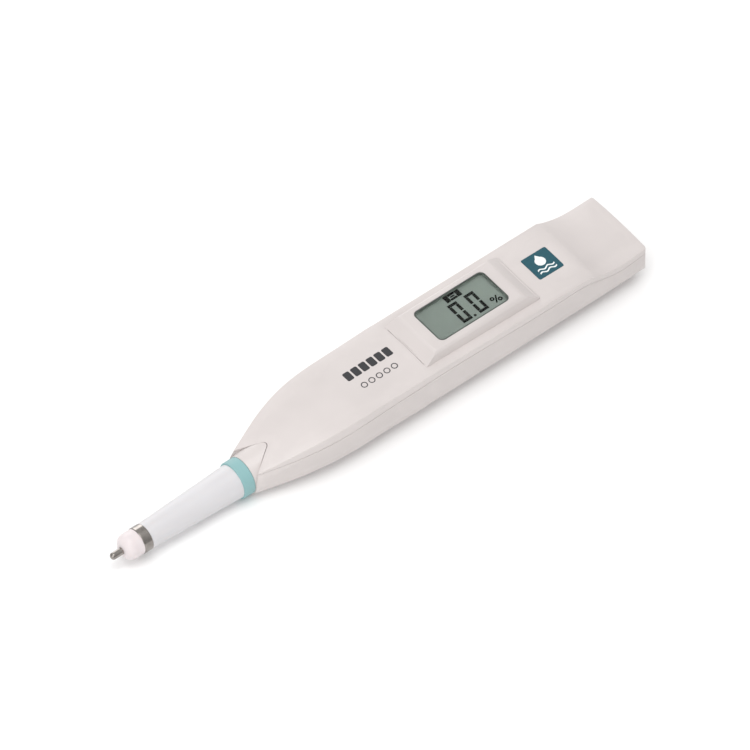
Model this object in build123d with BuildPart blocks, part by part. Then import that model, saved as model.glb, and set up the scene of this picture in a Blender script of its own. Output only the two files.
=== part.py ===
"""Pen-type salinity meter: a two-electrode probe on a two-part plastic body with a raised display.

Millimetres. +X runs from the probe's tip to the tail, +Z is up through the display.
The origin is under the middle of the whole length, on the surface that the meter rests on.
"""

import os

from build123d import *

# --- driving dimensions -------------------------------------------------------------------

# The length from the tip of the pin to the tail, and the steps along the probe.
TOTAL_LENGTH = 190.0
PIN_PROUD = 4.1
CAP_LENGTH = 5.5
RING_WIDTH = 3.1
TUBE_LENGTH = 32.6
COLLAR_WIDTH = 3.9

# The probe, all of it round about one axis.
AXIS_HEIGHT = 6.2
PIN_DIAMETER = 2.25
CAP_DIAMETER = 8.2
CAP_ROUNDING = 2.7
RING_DIAMETER = 8.5
TUBE_FRONT_DIAMETER = 8.3
TUBE_REAR_DIAMETER = 10.9
COLLAR_DIAMETER = 11.9
SPIGOT_DIAMETER = 9.1
SPIGOT_LENGTH = 7.9
CORE_DIAMETER = 5.6
NECK_DIAMETER = 12.0
NECK_FLARE_DIAMETER = 16.4
NECK_LENGTH = 11.5
NOTCH_LENGTH = 9.7
NOTCH_SLOPE = 0.65
NOTCH_ROUNDING = 1.2
STEM_LENGTH = 6.6
THERMISTOR_DIAMETER = 1.9
THERMISTOR_LENGTH = 3.0
O_RING_SECTION = 0.8
LEAD_DIAMETER = 0.64

# The coin cell sets the width of the body.
CELL_DIAMETER = 20.0
CELL_HEIGHT = 3.2
CELL_GAP = 0.15
CELL_SIDE_MARGIN = 3.3
CELL_TAIL_MARGIN = 6.0

# The body's outer form.
WALL = 1.6
TOP_HEIGHT = 17.7
NOSE_HEIGHT = 10.9
NOSE_HALF_WIDTH = 6.2
NOSE_BLEND_LENGTH = 59.5
REAR_FALL = 1.0
SCOOP_FALL = 3.0
TAIL_RISE = 0.3
TAIL_NARROWING = 0.4
BOTTOM_CORNER = 8.5
NOSE_BOTTOM_CORNER = 5.8
SHOULDER_LEAN = 0.3
CROWN = 0.6
TAIL_PLAN_CORNER = 1.4
TAIL_LOWER_CORNER = 4.5
SCOOP_LENGTH = 20.6
SCOOP_FALL_LENGTH = 9.1
SEAM_GAP = 0.15
LIP_THICKNESS = 0.9
LIP_DEPTH = 1.2
GASKET_WIDTH = 0.6
GASKET_DEPTH = 0.5

# The display.
BEZEL_LENGTH = 44.0
BEZEL_TO_TAIL = 37.3
BEZEL_WIDTH = 20.0
BEZEL_RISE = 3.25
BEZEL_FRONT_RUN = 5.5
BEZEL_SIDE_RUN = 1.2
BEZEL_LEDGE = 1.2
BEZEL_ROOF = 0.8
BEZEL_EDGE = 1.4
BEZEL_RIDGE = 3.0
BEZEL_FOOT_DEPTH = 0.5
SKIRT_DEPTH = 1.0
WINDOW_LENGTH = 26.2
WINDOW_WIDTH = 13.8
WINDOW_CORNER = 1.8
WINDOW_RECESS = 0.1
WINDOW_FLANGE = 0.5
WINDOW_END_LIP = 1.2
WINDOW_SIDE_LIP = 0.7
GLASS_LENGTH = 31.0
GLASS_WIDTH = 15.2
GLASS_THICKNESS = 0.9
GLASS_LEDGE = 3.0
REFLECTOR_THICKNESS = 0.15
CONNECTOR_WIDTH = 2.0

# The electronics.
BOARD_DEPTH = 5.1
BOARD_THICKNESS = 1.0
BOARD_WIDTH = 20.6
BOARD_FRONT_GAP = 3.4
BOARD_REAR_GAP = 2.0
SWITCH_SIZE = 6.0
SWITCH_HEIGHT = 3.5
PLUNGER_DIAMETER = 3.3
PLUNGER_PROUD = 1.3
BUTTON_TRAVEL = 0.5
BUTTON_LENGTH = 11.0
BUTTON_WIDTH = 6.0
BUTTON_RIM = 1.2
BUTTON_SEAL_THICKNESS = 0.43
BUTTON_FLANGE = 0.8
BUTTON_RECESS = 0.25
BUTTON_TO_BEZEL_MIDDLE = 11.5
CHIP_SIZE = 9.0
LABEL_LENGTH = 26.0
LABEL_WIDTH = 8.0
LABEL_RECESS = 0.25
LABEL_SHIFT = 2.5
EMBLEM_SIZE = 9.1
EMBLEM_THICKNESS = 0.75

# The battery bay and its door.
DOOR_BEFORE_CELL = 11.0
DOOR_TOP = 3.6
DOOR_GRIPS = 5
SHELF_THICKNESS = 1.2
BAY_WALL = 2.4
RAIL_INSIDE = 4.7
RAIL_WEB = 0.8
RAIL_LIP = 0.9
RAIL_THICKNESS = 0.7
RAIL_FLOOR_GAP = 0.5
RAIL_TAIL_GAP = 1.6
TONGUE_LENGTH = 1.2
TONGUE_WIDTH = 8.0
TONGUE_THICKNESS = 0.8
CONTACT_THICKNESS = 0.2
CONTACT_WIDTH = 5.0
CONTACT_SPRING = 0.45
CONTACT_TAB = 0.6
HOLDER_ROOF = 1.2
HOLDER_SIDE_GAP = 3.7

# Fasteners.
CASE_SCREW_DIAMETER = 2.0
CASE_SCREW_HEAD = 3.8
CASE_SCREW_GRIP = 2.4
FRONT_SEAT_DEPTH = 2.8
REAR_SEAT_DEPTH = 0.4
FRONT_SCREW_TO_NOSE = 23.0
REAR_SCREW_TO_CELL = 4.0
REAR_SCREW_TO_SIDE = 4.4
BOARD_SCREW_DIAMETER = 1.6
BOARD_SCREW_HEAD = 3.0
BOARD_SCREW_LENGTH = 6.0
BOARD_SCREW_FRONT = 5.5
BOARD_SCREW_REAR = 4.0
BOARD_SCREW_SIDE = 3.3
SCREW_HEAD_HEIGHT = 1.3
BOSS_WALL = 0.6
POST_WALL = 1.4
BOSS_DEPTH = 6.7
NECK_WALL = 2.0

# Clearances, each on one side.
FIT = 0.03
SLIDE = 0.1
LOOSE = 0.25

# Further out than any face, for cutting shapes that must pass right through.
FAR = 60.0

# --- places worked out from them ----------------------------------------------------------

tip_x = -TOTAL_LENGTH / 2
cap_x = tip_x + PIN_PROUD
ring_x = cap_x + CAP_LENGTH
tube_x = ring_x + RING_WIDTH
collar_x = tube_x + TUBE_LENGTH
nose_x = collar_x + COLLAR_WIDTH
tail_x = TOTAL_LENGTH / 2
side_half = CELL_DIAMETER / 2 + CELL_SIDE_MARGIN
tail_half = side_half - TAIL_NARROWING
rear_height = TOP_HEIGHT - REAR_FALL
scoop_height = rear_height - SCOOP_FALL
tail_height = scoop_height + TAIL_RISE

scoop_x = tail_x - SCOOP_LENGTH
scoop_end = scoop_x + SCOOP_FALL_LENGTH
cell_x = tail_x - CELL_DIAMETER / 2 - CELL_TAIL_MARGIN
door_x = cell_x - CELL_DIAMETER / 2 - DOOR_BEFORE_CELL
cell_bottom = DOOR_TOP + CELL_GAP
cell_top = cell_bottom + CELL_HEIGHT
shelf_top = DOOR_TOP + SHELF_THICKNESS
board_top = TOP_HEIGHT - BOARD_DEPTH
board_bottom = board_top - BOARD_THICKNESS
boss_top = TOP_HEIGHT - BOSS_DEPTH
bezel_top = TOP_HEIGHT + BEZEL_RISE
bezel_side_foot = TOP_HEIGHT - BEZEL_FOOT_DEPTH
bezel_end = tail_x - BEZEL_TO_TAIL
bezel_middle = bezel_end - BEZEL_LENGTH / 2
cavity_x = nose_x + NECK_LENGTH
apex_x = nose_x + NOTCH_LENGTH
spigot_end = nose_x + SPIGOT_LENGTH
neck_stop = spigot_end + LOOSE
pin_radius = PIN_DIAMETER / 2
spigot_radius = SPIGOT_DIAMETER / 2
core_radius = CORE_DIAMETER / 2
core_start = ring_x + STEM_LENGTH
core_end = cavity_x - 2 * LOOSE
neck_back_radius = spigot_radius + NECK_WALL

case_boss_radius = CASE_SCREW_HEAD / 2 + SLIDE + BOSS_WALL
rear_screw_x = cell_x - CELL_DIAMETER / 2 - REAR_SCREW_TO_CELL
rear_screw_y = side_half - REAR_SCREW_TO_SIDE
front_screw_x = nose_x + FRONT_SCREW_TO_NOSE
front_seat = WALL + FRONT_SEAT_DEPTH
rear_seat = shelf_top + REAR_SEAT_DEPTH
case_screw_length = boss_top + CASE_SCREW_GRIP - front_seat
case_screws_at = (
    (front_screw_x, 0, front_seat),
    (rear_screw_x, rear_screw_y, rear_seat),
    (rear_screw_x, -rear_screw_y, rear_seat),
)
board_front = front_screw_x + case_boss_radius + BOARD_FRONT_GAP
board_rear = rear_screw_x - case_boss_radius - BOARD_REAR_GAP
board_middle = (board_front + board_rear) / 2
board_post_radius = BOARD_SCREW_DIAMETER / 2 + POST_WALL
board_screw_y = BOARD_WIDTH / 2 - BOARD_SCREW_SIDE
board_screws_at = [(x, y) for x in (board_front + BOARD_SCREW_FRONT, board_rear - BOARD_SCREW_REAR)
                   for y in (-board_screw_y, board_screw_y)]

shoulder_z = bezel_top - BEZEL_ROOF
glass_top = shoulder_z - WINDOW_FLANGE - FIT
glass_bottom = glass_top - 2 * GLASS_THICKNESS
flange_length = WINDOW_LENGTH + 2 * WINDOW_END_LIP
flange_width = WINDOW_WIDTH + 2 * WINDOW_SIDE_LIP
holder_top_z = glass_bottom - REFLECTOR_THICKNESS
skirt_bottom = TOP_HEIGHT - WALL - SKIRT_DEPTH
skirt_length = BEZEL_LENGTH - 2 * BEZEL_LEDGE
skirt_width = BEZEL_WIDTH - 2 * BEZEL_LEDGE

button_x = bezel_middle - BUTTON_TO_BEZEL_MIDDLE
switch_bottom = board_bottom - SWITCH_HEIGHT
plunger_bottom = switch_bottom - PLUNGER_PROUD
label_x = (front_screw_x + button_x) / 2 - LABEL_SHIFT
emblem_x = (bezel_end + scoop_x) / 2

cell_hole_radius = CELL_DIAMETER / 2 + LOOSE
rail_bottom = WALL + RAIL_FLOOR_GAP
tongue_bottom = WALL + 2 * SLIDE
rail_break = (cell_hole_radius ** 2 - RAIL_INSIDE ** 2) ** 0.5 + 2 * LOOSE
rail_spans = ((door_x, cell_x - rail_break), (cell_x + rail_break, tail_x - WALL - RAIL_TAIL_GAP))
cell_roof = cell_top + CONTACT_SPRING
contact_tab_z = cell_roof + HOLDER_ROOF + CONTACT_TAB

# The seam between the two covers, seen from the side. From the bezel back it stays just below the roof.
SEAM_DROP = WALL + SEAM_GAP
SCOOP_SAG = 0.5
scoop_middle_height = (rear_height + scoop_height) / 2 - SCOOP_SAG
SEAM = (
    (nose_x - 8, NOSE_HEIGHT - 1.2),
    (nose_x + 1, NOSE_HEIGHT - 0.3),
    (nose_x + 17, TOP_HEIGHT - 4.4),
    (nose_x + 37, TOP_HEIGHT - 2.8),
    (bezel_middle, (TOP_HEIGHT + rear_height) / 2 - SEAM_DROP + SLIDE),
    (scoop_x - 10, rear_height - SEAM_DROP + SLIDE),
    (scoop_x - 2, rear_height - SEAM_DROP - SLIDE),
    (scoop_x + SCOOP_FALL_LENGTH / 2, scoop_middle_height - SEAM_DROP),
    (scoop_end, scoop_height - SEAM_DROP),
    (tail_x - 5, scoop_height - SEAM_DROP),
    (tail_x + 8, tail_height - SEAM_DROP - SLIDE),
)


def along_nose(distance, width_share, height_share, drop):
    """One section of the swelling nose: place, side half width, crease height and shoulder drop."""
    half = NOSE_HALF_WIDTH + (side_half - NOSE_HALF_WIDTH) * width_share
    height = NOSE_HEIGHT + (TOP_HEIGHT - NOSE_HEIGHT) * height_share
    corner = NOSE_BOTTOM_CORNER + (BOTTOM_CORNER - NOSE_BOTTOM_CORNER) * width_share
    return nose_x + distance, half, height, drop, corner


NOSE_SECTIONS = (
    along_nose(0, 0.0, 0.0, 3.1),
    along_nose(9.6, 0.45, 0.42, 2.8),
    along_nose(17.5, 0.745, 0.72, 2.6),
    along_nose(26.3, 0.94, 0.90, 2.6),
    along_nose(36.5, 1.0, 0.97, 2.5),
    along_nose(48.0, 1.0, 0.99, 2.3),
    along_nose(NOSE_BLEND_LENGTH, 1.0, 1.0, 2.1),
)
MIDDLE_SECTIONS = (
    NOSE_SECTIONS[-1],
    (scoop_x, side_half, rear_height, 0.9, BOTTOM_CORNER),
)
TAIL_SECTIONS = (
    MIDDLE_SECTIONS[-1],
    (scoop_x + SCOOP_FALL_LENGTH / 2, side_half - 0.15 * TAIL_NARROWING, scoop_middle_height, 1.0,
     BOTTOM_CORNER),
    (scoop_end, side_half - 0.3 * TAIL_NARROWING, scoop_height, 1.2, BOTTOM_CORNER),
    (tail_x - 5, side_half - 0.65 * TAIL_NARROWING, scoop_height, 1.4, BOTTOM_CORNER),
    (tail_x + 1, tail_half, tail_height, 1.6, BOTTOM_CORNER),
)

PROBE_AXIS = Axis((0, 0, AXIS_HEIGHT), (1, 0, 0))


def hull(inset):
    """The body's outer form, with every face moved inwards by inset."""
    with BuildPart() as form:
        for sections in (NOSE_SECTIONS, MIDDLE_SECTIONS, TAIL_SECTIONS):
            for x, half, crease, drop, corner in sections:
                radius = corner - inset
                middle = half - corner
                widest_z = min(crease - drop, crease - inset - 0.3)
                crease_half = half - SHOULDER_LEAN * drop - inset
                with BuildSketch(Plane.YZ.offset(x)):
                    with BuildLine():
                        Line((-middle, corner - radius), (middle, corner - radius))
                        for side in (-1, 1):
                            foot = (side * middle, corner - radius)
                            JernArc(foot, (side, 0), radius, side * 90)
                            wall_foot = (side * (half - inset), corner)
                            shoulder = (side * (half - inset), widest_z)
                            Polyline(wall_foot, shoulder, (side * crease_half, crease - inset))
                        ends = [(side * crease_half, crease - inset) for side in (1, -1)]
                        ThreePointArc(ends[0], (0, crease + CROWN - inset), ends[1])
                    make_face()
            loft(ruled=len(sections) == 2)
        # The tail is rounded in plan at its corners and in side view along its lower edge.
        plan_corner = max(TAIL_PLAN_CORNER - inset, 0.4)
        plan_half = tail_half + SLIDE - inset
        end_x = tail_x - inset
        with BuildSketch():
            with BuildLine():
                Polyline((end_x - plan_corner, plan_half), (end_x - plan_corner, FAR), (nose_x - FAR, FAR),
                         (nose_x - FAR, -FAR), (end_x - plan_corner, -FAR), (end_x - plan_corner, -plan_half))
                JernArc((end_x - plan_corner, -plan_half), (1, 0), plan_corner, 90)
                Line((end_x, -plan_half + plan_corner), (end_x, plan_half - plan_corner))
                JernArc((end_x, plan_half - plan_corner), (0, 1), plan_corner, 90)
            make_face()
        extrude(amount=FAR, both=True, mode=Mode.INTERSECT)
        lower_corner = TAIL_LOWER_CORNER - inset
        with BuildSketch(Plane.XZ):
            with BuildLine():
                Polyline((end_x - lower_corner, inset), (nose_x - FAR, inset), (nose_x - FAR, FAR),
                         (end_x, FAR), (end_x, inset + lower_corner))
                JernArc((end_x - lower_corner, inset), (1, 0), lower_corner, 90)
            make_face()
        extrude(amount=FAR, both=True, mode=Mode.INTERSECT)
    return form.part


def above_seam(lift):
    """Everything above the seam when the seam is lifted by the given amount."""
    with BuildPart() as space:
        with BuildSketch(Plane.XZ):
            with BuildLine():
                points = [(x, z + lift) for x, z in SEAM]
                Spline(*points)
                Polyline(points[-1], (points[-1][0], FAR), (points[0][0], FAR), points[0])
            make_face()
        extrude(amount=FAR, both=True)
    return space.part


def turned(*outline):
    """A solid of revolution about the probe's axis, from (x, radius) corners."""
    with BuildPart() as body:
        with BuildSketch(Plane.XZ.shift_origin((0, 0, AXIS_HEIGHT))):
            with BuildLine():
                Polyline(*outline, close=True)
            make_face()
        revolve(axis=PROBE_AXIS)
    return body.part


def ring(start, end, inner_radius, outer_radius):
    """A plain ring or rod about the probe's axis."""
    return turned((start, inner_radius), (end, inner_radius), (end, outer_radius), (start, outer_radius))


def notch(gap):
    """The V-shaped opening in the upper cover that shows the neck, moved outwards by gap."""
    point_x = apex_x + gap * 1.8
    mouth_x = nose_x - 4
    mouth_half = (point_x - mouth_x) * NOTCH_SLOPE
    with BuildPart() as space:
        with BuildSketch(Plane.XY.offset(AXIS_HEIGHT)) as outline:
            with BuildLine():
                Polyline((point_x, 0), (mouth_x, mouth_half), (mouth_x, -mouth_half), close=True)
            make_face()
            fillet(outline.vertices().sort_by(Axis.X)[-1], NOTCH_ROUNDING)
        extrude(amount=FAR)
    return space.part


def plate(x, y, low, high, length, width, corner):
    """A flat plate with rounded corners between two heights."""
    with BuildPart() as body:
        with BuildSketch(Plane.XY.offset(low)):
            with Locations((x, y)):
                RectangleRounded(length, width, corner)
        extrude(amount=high - low)
    return body.part


def strip(outline, width):
    """A bent metal strip: an (x, z) outline with its thickness, extruded across the width."""
    with BuildPart() as body:
        with BuildSketch(Plane.XZ):
            with BuildLine():
                Polyline(*outline, close=True)
            make_face()
        extrude(amount=width / 2, both=True)
    return body.part


def wire(points, bend):
    """A round lead along straight runs joined by arcs."""
    with BuildPart() as lead:
        with BuildLine():
            route = FilletPolyline(*points, radius=bend)
        with BuildSketch(Plane(origin=route @ 0, z_dir=route % 0)):
            Circle(LEAD_DIAMETER / 2)
        sweep()
    return lead.part


def box_between(low, high, mode=Mode.ADD):
    """A box between two opposite corners, in the part being built."""
    middle = tuple((a + b) / 2 for a, b in zip(low, high))
    with Locations(middle):
        Box(*(abs(b - a) for a, b in zip(low, high)), mode=mode)


def post(x, y, low, high, radius, mode=Mode.ADD):
    """An upright cylinder between two heights, in the part being built."""
    with Locations((x, y, low)):
        Cylinder(radius, high - low, align=(Align.CENTER, Align.CENTER, Align.MIN), mode=mode)


def save(body, name):
    """Labels one finished piece and writes it out."""
    body.part.label = name
    export_step(body.part, f"parts/{name}.step")


os.makedirs("parts", exist_ok=True)

# --- forms that several pieces share ------------------------------------------------------

outer = hull(0)
inner = hull(WALL)

with BuildPart() as cavity:
    add(inner)
    box_between((cavity_x, -FAR, 0), (tail_x + FAR, FAR, FAR), Mode.INTERSECT)

# The neck swells from a plain round up to the crown of the upper cover.
with BuildPart() as neck:
    add(turned((nose_x, 0), (cavity_x, 0), (cavity_x, neck_back_radius), (apex_x, neck_back_radius),
               (apex_x, NECK_FLARE_DIAMETER / 2), (nose_x, NECK_DIAMETER / 2)))
    box_between((nose_x - 1, -FAR, AXIS_HEIGHT), (cavity_x + 1, FAR, FAR), Mode.INTERSECT)

with BuildPart() as neck_crown:
    add(neck.part)
    add(notch(-SEAM_GAP), mode=Mode.INTERSECT)

with BuildPart() as beside_neck:
    add(notch(0))
    add(neck.part, mode=Mode.SUBTRACT)

# A groove and its gasket run round the rim under the seam, from one side of the neck to the other.
gasket_inset = (WALL - GASKET_WIDTH) / 2
with BuildPart() as gasket_band:
    add(hull(gasket_inset))
    add(hull(gasket_inset + GASKET_WIDTH), mode=Mode.SUBTRACT)
    box_between((cavity_x, -FAR, 0), (tail_x + FAR, FAR, FAR), Mode.INTERSECT)
    add(above_seam(-GASKET_DEPTH), mode=Mode.INTERSECT)

# The lip of the upper cover reaches down inside the rim of the lower one. The cover's hollow is cut
# after the lip is joined on, so that its sides are as thick as the wall and the lip together.
lip_inset = WALL + SLIDE
with BuildPart() as lip:
    add(hull(lip_inset))
    box_between((cavity_x + 3, -FAR, 0), (tail_x + FAR, FAR, FAR), Mode.INTERSECT)
    add(above_seam(-LIP_DEPTH), mode=Mode.INTERSECT)

with BuildPart() as lid_hollow:
    add(hull(lip_inset + LIP_THICKNESS).moved(Location((0, 0, SLIDE + LIP_THICKNESS))))
    box_between((cavity_x, -FAR, 0), (tail_x + FAR, FAR, FAR), Mode.INTERSECT)

# The inside fixings of the lower cover: bosses, posts, the battery shelf and the wall before it.
with BuildPart() as fixings:
    box_between((door_x - BAY_WALL, -FAR, -1), (tail_x + 1, FAR, shelf_top))
    for x, y, seat in case_screws_at:
        post(x, y, 0, boss_top, case_boss_radius)
    for x, y in board_screws_at:
        post(x, y, 0, board_bottom - FIT, board_post_radius)
    add(outer, mode=Mode.INTERSECT)

# --- the covers ---------------------------------------------------------------------------

with BuildPart() as bottom_cover:
    add(outer)
    add(above_seam(0), mode=Mode.SUBTRACT)
    add(beside_neck.part, mode=Mode.SUBTRACT)
    add(cavity.part, mode=Mode.SUBTRACT)
    add(neck_crown.part)
    add(ring(nose_x, cavity_x, 0, NECK_DIAMETER / 2))
    add(fixings.part)
    # The bay for the cell, open below until the door closes it.
    box_between((door_x, -FAR, -1), (tail_x + 1, FAR, DOOR_TOP), Mode.SUBTRACT)
    post(cell_x, 0, DOOR_TOP - 1, shelf_top + 1, cell_hole_radius, Mode.SUBTRACT)
    # Rails under the shelf hold the door up, and a slot takes the door's tongue.
    for side in (-1, 1):
        for start, end in rail_spans:
            box_between((start, side * RAIL_INSIDE, rail_bottom),
                        (end, side * (RAIL_INSIDE + RAIL_WEB), DOOR_TOP))
            box_between((start, side * RAIL_INSIDE, rail_bottom),
                        (end, side * (RAIL_INSIDE + RAIL_WEB + RAIL_LIP), rail_bottom + RAIL_THICKNESS))
    box_between((door_x - TONGUE_LENGTH - LOOSE, -TONGUE_WIDTH / 2 - SLIDE, tongue_bottom - SLIDE),
                (door_x + 1, TONGUE_WIDTH / 2 + SLIDE, tongue_bottom + TONGUE_THICKNESS + SLIDE),
                Mode.SUBTRACT)
    # Screw holes, with recesses for the heads of the case screws.
    for x, y, seat in case_screws_at:
        post(x, y, -1, boss_top + 1, CASE_SCREW_DIAMETER / 2 + SLIDE, Mode.SUBTRACT)
        post(x, y, -1, seat, CASE_SCREW_HEAD / 2 + SLIDE, Mode.SUBTRACT)
    for x, y in board_screws_at:
        post(x, y, board_top - BOARD_SCREW_LENGTH - 0.4, board_bottom + 1,
             BOARD_SCREW_DIAMETER / 2 + FIT, Mode.SUBTRACT)
    # The button's hole and the recess for the blank label.
    add(plate(button_x, 0, -1, WALL + 1, BUTTON_LENGTH + 2 * SLIDE, BUTTON_WIDTH + 2 * SLIDE,
              BUTTON_WIDTH / 2), mode=Mode.SUBTRACT)
    add(plate(label_x, 0, -1, LABEL_RECESS, LABEL_LENGTH + 2 * SLIDE, LABEL_WIDTH + 2 * SLIDE, 1.2),
        mode=Mode.SUBTRACT)
    # The bore for the probe's spigot, and the way through for the core.
    add(ring(nose_x - 1, neck_stop, 0, spigot_radius + SLIDE / 2), mode=Mode.SUBTRACT)
    add(ring(nose_x, cavity_x + 1, 0, core_radius + SLIDE), mode=Mode.SUBTRACT)
    add(gasket_band.part, mode=Mode.SUBTRACT)
save(bottom_cover, "bottom_cover")

with BuildPart() as lid_bosses:
    for x, y, seat in case_screws_at:
        post(x, y, boss_top + SLIDE, TOP_HEIGHT + 5, case_boss_radius)
    add(outer, mode=Mode.INTERSECT)

with BuildPart() as emblem_pocket:
    add(plate(emblem_x, 0, boss_top, TOP_HEIGHT + 5, EMBLEM_SIZE + SLIDE, EMBLEM_SIZE + SLIDE, 0.6))
    add(outer.moved(Location((0, 0, -EMBLEM_THICKNESS))), mode=Mode.SUBTRACT)

with BuildPart() as top_cover:
    add(outer)
    add(above_seam(SEAM_GAP), mode=Mode.INTERSECT)
    box_between((nose_x + 0.6, -FAR, 0), (tail_x + FAR, FAR, FAR), Mode.INTERSECT)
    add(lip.part)
    add(lid_hollow.part, mode=Mode.SUBTRACT)
    add(lid_bosses.part)
    add(notch(0), mode=Mode.SUBTRACT)
    # The neck's hidden back end, the display's opening and the emblem's pocket.
    add(ring(nose_x, cavity_x + SLIDE, 0, neck_back_radius + SLIDE), mode=Mode.SUBTRACT)
    add(plate(bezel_middle, 0, 0, bezel_top, skirt_length + 2 * SLIDE, skirt_width + 2 * SLIDE, 1.0),
        mode=Mode.SUBTRACT)
    add(emblem_pocket.part, mode=Mode.SUBTRACT)
    for x, y, seat in case_screws_at:
        post(x, y, 0, seat + case_screw_length + 0.4, CASE_SCREW_DIAMETER / 2 + FIT, Mode.SUBTRACT)
save(top_cover, "top_cover")

with BuildPart() as case_gasket:
    add(gasket_band.part)
    add(above_seam(SEAM_GAP - FIT), mode=Mode.SUBTRACT)
save(case_gasket, "case_gasket")

with BuildPart() as case_screws:
    for x, y, seat in case_screws_at:
        post(x, y, seat - SCREW_HEAD_HEIGHT, seat, CASE_SCREW_HEAD / 2)
        post(x, y, seat, seat + case_screw_length, CASE_SCREW_DIAMETER / 2)
        for length, width in ((2.4, 0.6), (0.6, 2.4)):
            box_between((x - length / 2, y - width / 2, seat - SCREW_HEAD_HEIGHT - 1),
                        (x + length / 2, y + width / 2, seat - SCREW_HEAD_HEIGHT / 2), Mode.SUBTRACT)
save(case_screws, "case_screws")

# --- the display --------------------------------------------------------------------------

with BuildPart() as display_bezel:
    # A long slope in front and behind, steep sides, and rounded corners in plan.
    bezel_foot = rear_height - 1
    for plane, length, run, depth, edge in (
        (Plane.XZ.shift_origin((bezel_middle, 0, 0)), BEZEL_LENGTH, BEZEL_FRONT_RUN, BEZEL_WIDTH, BEZEL_RIDGE),
        (Plane.YZ.offset(bezel_middle), BEZEL_WIDTH, BEZEL_SIDE_RUN, BEZEL_LENGTH, BEZEL_EDGE),
    ):
        half = length / 2
        with BuildSketch(plane) as profile:
            with BuildLine():
                Polyline((-half, bezel_foot), (-half, bezel_side_foot), (-half + run, bezel_top),
                         (half - run, bezel_top), (half, bezel_side_foot), (half, bezel_foot), close=True)
            make_face()
            fillet(profile.vertices().group_by(Axis.Y)[-1], edge)
        extrude(amount=depth, both=True, mode=Mode.INTERSECT if display_bezel.part else Mode.ADD)
    add(plate(bezel_middle, 0, bezel_foot, bezel_top, BEZEL_LENGTH, BEZEL_WIDTH, 1.5), mode=Mode.INTERSECT)
    add(outer.moved(Location((0, 0, FIT))), mode=Mode.SUBTRACT)
    add(plate(bezel_middle, 0, skirt_bottom, bezel_side_foot + 1, skirt_length, skirt_width, 1.0))
    # The chamber for the glass, the step for the window's flange and the opening itself.
    add(plate(bezel_middle, 0, 0, shoulder_z - WINDOW_FLANGE, GLASS_LENGTH + 2 * SLIDE,
              GLASS_WIDTH + 4 * SLIDE, 0.5), mode=Mode.SUBTRACT)
    add(plate(bezel_middle, 0, 0, shoulder_z, flange_length + 2 * SLIDE, flange_width + 2 * SLIDE, 0.5),
        mode=Mode.SUBTRACT)
    add(plate(bezel_middle, 0, 0, bezel_top + 1, WINDOW_LENGTH, WINDOW_WIDTH, WINDOW_CORNER),
        mode=Mode.SUBTRACT)
save(display_bezel, "display_bezel")

with BuildPart() as display_window:
    add(plate(bezel_middle, 0, shoulder_z - FIT, bezel_top - WINDOW_RECESS, WINDOW_LENGTH - SLIDE,
              WINDOW_WIDTH - SLIDE, WINDOW_CORNER))
    add(plate(bezel_middle, 0, shoulder_z - WINDOW_FLANGE, shoulder_z - FIT, flange_length, flange_width, 0.5))
save(display_window, "display_window")

glass_left = bezel_middle - GLASS_LENGTH / 2
rear_glass_middle = bezel_middle + GLASS_LEDGE / 2

with BuildPart() as lcd_front_glass:
    add(plate(bezel_middle, 0, glass_top - GLASS_THICKNESS, glass_top, GLASS_LENGTH, GLASS_WIDTH, 0.2))
save(lcd_front_glass, "lcd_front_glass")

with BuildPart() as lcd_rear_glass:
    add(plate(rear_glass_middle, 0, glass_bottom, glass_top - GLASS_THICKNESS,
              GLASS_LENGTH - GLASS_LEDGE, GLASS_WIDTH, 0.2))
save(lcd_rear_glass, "lcd_rear_glass")

with BuildPart() as lcd_reflector:
    add(plate(rear_glass_middle, 0, holder_top_z, glass_bottom, GLASS_LENGTH - GLASS_LEDGE - 0.2,
              GLASS_WIDTH - 0.2, 0.2))
save(lcd_reflector, "lcd_reflector")

connector_x = glass_left + GLASS_LEDGE / 2
with BuildPart() as lcd_connector:
    box_between((connector_x - CONNECTOR_WIDTH / 2, -GLASS_WIDTH / 2 + 0.5, board_top),
                (connector_x + CONNECTOR_WIDTH / 2, GLASS_WIDTH / 2 - 0.5, glass_top - GLASS_THICKNESS))
save(lcd_connector, "lcd_connector")

with BuildPart() as lcd_holder:
    add(plate(bezel_middle, 0, board_top, holder_top_z, GLASS_LENGTH - 0.2, GLASS_WIDTH, 0.4))
    box_between((connector_x + CONNECTOR_WIDTH / 2 + 1.0, -GLASS_WIDTH / 2 + 1.4, 0),
                (bezel_middle + GLASS_LENGTH / 2 - 1.6, GLASS_WIDTH / 2 - 1.4, bezel_top), Mode.SUBTRACT)
    box_between((connector_x - CONNECTOR_WIDTH / 2 - SLIDE, -GLASS_WIDTH / 2 + 0.4, 0),
                (connector_x + CONNECTOR_WIDTH / 2 + SLIDE, GLASS_WIDTH / 2 - 0.4, bezel_top), Mode.SUBTRACT)
save(lcd_holder, "lcd_holder")

# --- the circuit board --------------------------------------------------------------------

with BuildPart() as main_board:
    add(plate(board_middle, 0, board_bottom, board_top, board_rear - board_front, BOARD_WIDTH, 2.0))
    for x, y in board_screws_at:
        post(x, y, 0, board_top + 1, BOARD_SCREW_DIAMETER / 2 + SLIDE, Mode.SUBTRACT)
save(main_board, "main_board")

with BuildPart() as board_screws:
    for x, y in board_screws_at:
        post(x, y, board_top, board_top + SCREW_HEAD_HEIGHT, BOARD_SCREW_HEAD / 2)
        post(x, y, board_top - BOARD_SCREW_LENGTH, board_top, BOARD_SCREW_DIAMETER / 2)
save(board_screws, "board_screws")

chip_x = board_front + 20.0
with BuildPart() as control_chip:
    add(plate(chip_x, 0, board_top, board_top + 1.4, CHIP_SIZE, CHIP_SIZE, 0.3))
save(control_chip, "control_chip")

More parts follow.
